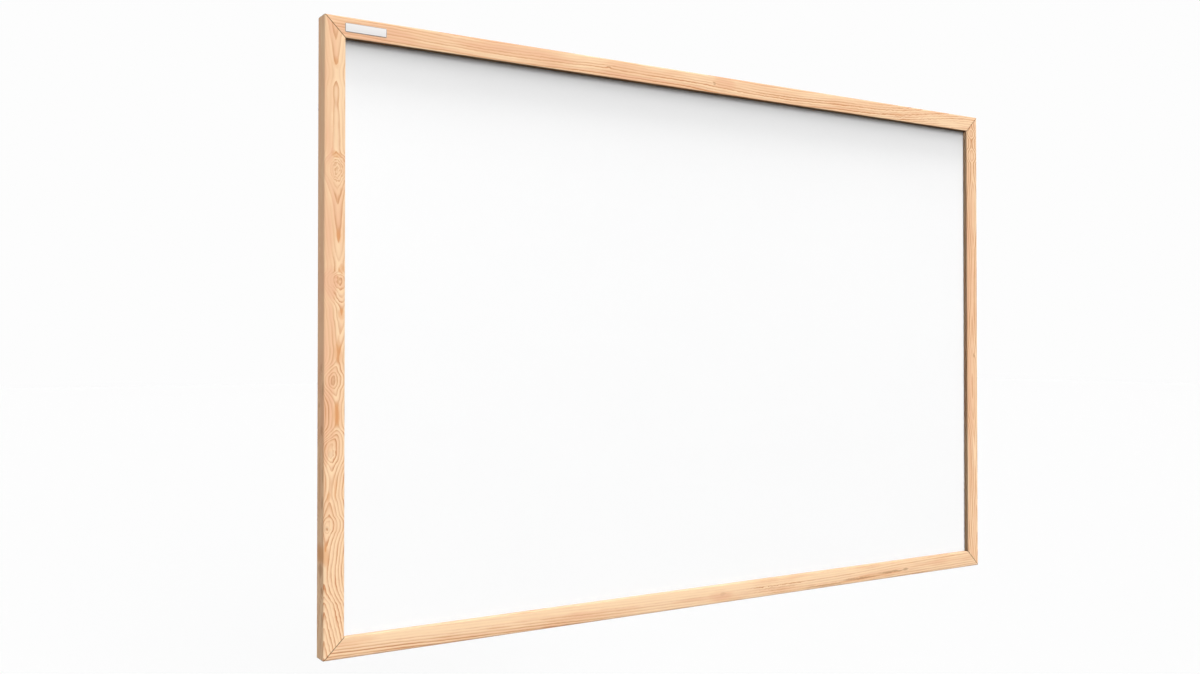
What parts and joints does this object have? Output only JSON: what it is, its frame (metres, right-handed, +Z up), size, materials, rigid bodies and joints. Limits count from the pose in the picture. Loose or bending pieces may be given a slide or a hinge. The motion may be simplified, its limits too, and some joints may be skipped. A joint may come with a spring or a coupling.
{
  "type": "whiteboard",
  "caption": "Magnetic whiteboard in a mitred pine frame, with a bonded panel, corner nails, panel points and two swinging ring hangers on the back.",
  "frame": {"origin": "on the wall plane that the rear pads rest on, behind the middle of the board", "axes": "+X to the right seen from the front, +Z up, the writing side faces -Y"},
  "size_m": [0.9, 0.0244, 0.6],
  "materials": {
    "pine": "clear satin lacquer over straight-grained pine",
    "white_lacquer": "smooth semi-gloss writing lacquer on steel",
    "fibreboard": "raw softboard",
    "backing": "thin matt aluminium balancing sheet",
    "zinc_steel": "bright zinc plate",
    "label": "smooth white plate, blank",
    "rubber": "matt dark rubber"
  },
  "bodies": {
    "board": {"backing_sheet": "backing", "bottom_rail": "pine", "core_board": "fibreboard", "hanger_screw_left": "zinc_steel", "hanger_screw_right": "zinc_steel", "hanger_strap_left": "zinc_steel", "hanger_strap_right": "zinc_steel", "label_plate": "label", "left_stile": "pine", "panel_point_bottom_rail_1": "zinc_steel", "panel_point_bottom_rail_2": "zinc_steel", "panel_point_bottom_rail_3": "zinc_steel", "panel_point_bottom_rail_4": "zinc_steel", "panel_point_left_stile_1": "zinc_steel", "panel_point_left_stile_2": "zinc_steel", "panel_point_right_stile_1": "zinc_steel", "panel_point_right_stile_2": "zinc_steel", "panel_point_top_rail_1": "zinc_steel", "panel_point_top_rail_2": "zinc_steel", "panel_point_top_rail_3": "zinc_steel", "panel_point_top_rail_4": "zinc_steel", "right_stile": "pine", "top_rail": "pine", "v_nail_bottom_left_1": "zinc_steel", "v_nail_bottom_left_2": "zinc_steel", "v_nail_bottom_right_1": "zinc_steel", "v_nail_bottom_right_2": "zinc_steel", "v_nail_top_left_1": "zinc_steel", "v_nail_top_left_2": "zinc_steel", "v_nail_top_right_1": "zinc_steel", "v_nail_top_right_2": "zinc_steel", "wall_bumper_bottom_left": "rubber", "wall_bumper_bottom_right": "rubber", "wall_bumper_top_left": "rubber", "wall_bumper_top_right": "rubber", "writing_sheet": "white_lacquer"},
    "ring_left": {"hanger_ring_left": "zinc_steel"},
    "ring_right": {"hanger_ring_right": "zinc_steel"}
  },
  "joints": [
    {"name": "ring_left_swing", "type": "hinge", "parent": "board", "child": "ring_left", "pos_m": [-0.4425, -0.0029, 0.22], "axis": [1, 0, 0], "range_deg": [0, 180]},
    {"name": "ring_right_swing", "type": "hinge", "parent": "board", "child": "ring_right", "pos_m": [0.4425, -0.0029, 0.22], "axis": [1, 0, 0], "range_deg": [0, 180]}
  ]
}
